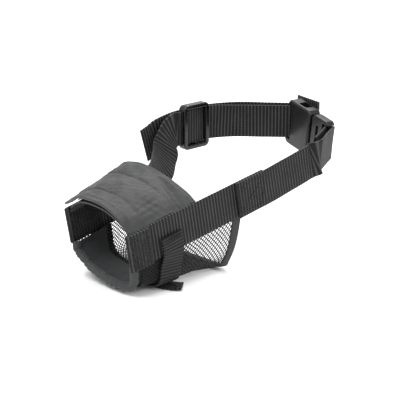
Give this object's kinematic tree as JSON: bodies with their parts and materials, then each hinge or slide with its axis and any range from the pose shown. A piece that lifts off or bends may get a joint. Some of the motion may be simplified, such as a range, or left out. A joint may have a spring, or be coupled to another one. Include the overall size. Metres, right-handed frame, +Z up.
{
  "type": "dog muzzle",
  "caption": "Soft nylon dog muzzle: webbing sides, mesh jaw sling, nose flap that closes with hook and loop, and a neck strap with slider and side-release buckle.",
  "frame": {"origin": "middle of the snout opening at the muzzle's front end, halfway between the side webbings", "axes": "+Z up as worn, -Y out of the nose end, +Y towards the neck strap, +X to the wearer's left"},
  "size_m": [0.1084, 0.2184, 0.09],
  "materials": {
    "webbing": "ribbed nylon webbing",
    "coated_nylon": "coated plain-weave nylon",
    "mesh": "open knitted net",
    "binding": "folded grosgrain tape",
    "lining": "soft ribbed lining",
    "lip_cloth": "gathered soft binding",
    "hook_loop": "hook and loop tape",
    "thread": "polyester thread",
    "elastic": "covered elastic cord",
    "buckle_plastic": "moulded acetal, satin",
    "slider_plastic": "moulded acetal, glossy"
  },
  "bodies": {
    "muzzle": {"side_webbing_left": "webbing", "side_webbing_right": "webbing", "mesh_panel": "mesh", "lip_lining": "lining", "rear_binding": "binding", "lip_roll": "lip_cloth", "lip_elastic": "elastic", "chin_strap": "webbing", "chin_strap_tab": "webbing", "chin_bartacks": "thread", "nose_flap_inner": "coated_nylon", "flap_loop_patch": "hook_loop", "buckle_female": "buckle_plastic", "neck_strap_left": "webbing", "neck_strap_right": "webbing", "buckle_backing": "webbing", "box_stitch_left": "thread", "box_stitch_right": "thread"},
    "nose_flap": {"nose_flap_outer": "coated_nylon", "flap_hook_patch": "hook_loop"},
    "buckle_male": {"buckle_male": "buckle_plastic", "male_strap_loop": "webbing"},
    "latch_arm_top": {"latch_arm_top": "buckle_plastic"},
    "latch_arm_bottom": {"latch_arm_bottom": "buckle_plastic"},
    "slider": {"slider": "slider_plastic"}
  },
  "joints": [
    {"name": "flap_open", "type": "hinge", "parent": "muzzle", "child": "nose_flap", "pos_m": [0.0318, 0, 0.0153], "axis": [0.0439, 0.9826, 0.1807], "range_deg": [0, 110]},
    {"name": "buckle_slide", "type": "slide", "parent": "muzzle", "child": "buckle_male", "axis": [0.9594, -0.237, -0.1529], "range_m": [0, 0.024]},
    {"name": "latch_press_top", "type": "hinge", "parent": "buckle_male", "child": "latch_arm_top", "pos_m": [0.00788, 0.20005, 0.05048], "axis": [-0.2398, -0.9708, 0], "range_deg": [0, 4], "stiffness_Nm_per_rad": 0.02},
    {"name": "latch_press_bottom", "type": "hinge", "parent": "buckle_male", "child": "latch_arm_bottom", "pos_m": [0.0044, 0.20091, 0.02736], "axis": [-0.2398, -0.9708, 0], "range_deg": [-4, 0], "stiffness_Nm_per_rad": 0.02},
    {"name": "slider_slide", "type": "slide", "parent": "muzzle", "child": "slider", "axis": [0, 1, 0], "range_m": [-0.003, 0.003]}
  ],
  "couplings": [
    {"joint": "latch_press_bottom", "follows": "latch_press_top", "ratio": -1}
  ]
}
